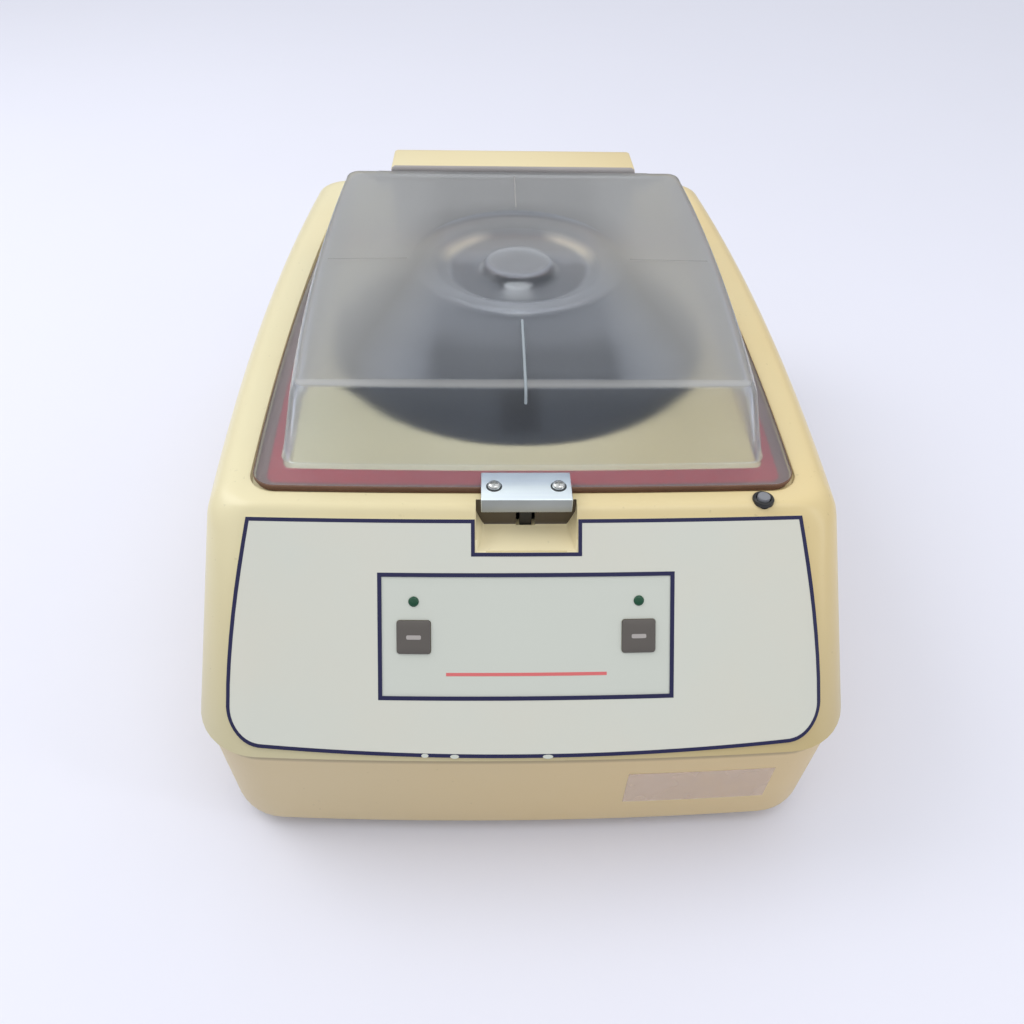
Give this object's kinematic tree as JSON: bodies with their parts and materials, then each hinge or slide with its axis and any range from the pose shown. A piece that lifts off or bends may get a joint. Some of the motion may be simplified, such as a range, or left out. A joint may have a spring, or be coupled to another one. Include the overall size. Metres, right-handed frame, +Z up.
{
  "type": "microcentrifuge",
  "caption": "Compact benchtop microcentrifuge with a see-through hinged lid, round rotor chamber, sloped control front, lid latch and push-button release.",
  "frame": {"origin": "where the rotor's axis meets the surface that the feet stand on", "axes": "+X to the user's right, +Y from the sloped front to the hinge, +Z up along the rotor's axis"},
  "size_m": [0.2464, 0.36, 0.1674],
  "materials": {
    "housing": "satin moulded, cream",
    "base": "satin moulded, tan",
    "smoke": "clear, smoked, polished",
    "overlay": "fine matte film",
    "window": "fine matte film",
    "key": "matte",
    "led": "clear lens",
    "gasket": "matte silicone",
    "black": "satin",
    "slate": "satin",
    "aluminium": "brushed, clear anodised",
    "steel": "bright",
    "zinc": "zinc plated",
    "rubber": "matte",
    "board": "solder mask",
    "copper": "enamelled wire",
    "grey": "satin",
    "magnet": "matte"
  },
  "bodies": {
    "chassis": {"upper_housing": "housing", "base_shell": "base", "front_overlay": "overlay", "control_window": "window", "led_left": "led", "led_right": "led", "lid_gasket": "gasket", "rotor_bowl": "slate", "lid_switch": "black", "button_bezel": "black", "power_inlet": "black", "fuse_holder": "black", "switch_frame": "black", "rating_plate": "aluminium", "upper_bearing": "steel", "lower_bearing": "steel", "hinge_pin_left": "steel", "hinge_pin_right": "steel", "button_spring": "steel", "rear_panel": "zinc", "motor_plate": "zinc", "motor_case": "zinc", "motor_end_cap": "zinc", "board_standoff_1": "zinc", "board_standoff_2": "zinc", "board_standoff_3": "zinc", "board_standoff_4": "zinc", "housing_screw_1": "zinc", "housing_screw_2": "zinc", "housing_screw_3": "zinc", "housing_screw_4": "zinc", "vibration_mount_1": "rubber", "vibration_mount_2": "rubber", "vibration_mount_3": "rubber", "vibration_mount_4": "rubber", "foot_1": "rubber", "foot_2": "rubber", "foot_3": "rubber", "foot_4": "rubber", "control_board": "board", "transformer_coil": "copper", "motor_field": "magnet", "transformer_core": "magnet", "latch_solenoid": "magnet"},
    "lid": {"lid_shell": "smoke", "latch_block": "aluminium", "latch_screw_left": "steel", "latch_screw_right": "steel", "latch_tongue": "black"},
    "rotor": {"rotor": "black", "rotor_knob": "steel", "motor_shaft": "steel", "motor_armature": "copper", "cooling_fan": "black"},
    "release_button": {"release_button": "grey"},
    "latch_bolt": {"latch_bolt": "steel"},
    "key_left": {"key_left": "key"},
    "key_right": {"key_right": "key"},
    "power_rocker": {"power_rocker": "black"}
  },
  "joints": [
    {"name": "lid_hinge", "type": "hinge", "parent": "chassis", "child": "lid", "pos_m": [0, 0.0974, 0.16], "axis": [-1, 0, 0], "range_deg": [0, 90]},
    {"name": "rotor_spin", "type": "hinge", "parent": "chassis", "child": "rotor", "pos_m": [0, 0, 0.1], "axis": [0, 0, 1], "continuous": true},
    {"name": "release_button_press", "type": "slide", "parent": "chassis", "child": "release_button", "axis": [0, 0, -1], "range_m": [0, 0.0015], "stiffness_N_per_m": 1200, "springref_m": -0.0004, "deforming": ["button_spring"]},
    {"name": "key_left_press", "type": "slide", "parent": "chassis", "child": "key_left", "axis": [0.0139, 0.7672, -0.6412], "range_m": [0, 0.0004], "stiffness_N_per_m": 2500, "springref_m": -0.0002},
    {"name": "key_right_press", "type": "slide", "parent": "chassis", "child": "key_right", "axis": [-0.0139, 0.7672, -0.6412], "range_m": [0, 0.0004], "stiffness_N_per_m": 2500, "springref_m": -0.0002},
    {"name": "latch_bolt_slide", "type": "slide", "parent": "chassis", "child": "latch_bolt", "axis": [-1, 0, 0], "range_m": [0, 0.007]},
    {"name": "power_rocker_tip", "type": "hinge", "parent": "chassis", "child": "power_rocker", "pos_m": [0.005, 0.1732, 0.033], "axis": [0, 0, -1], "range_deg": [0, 16]}
  ]
}
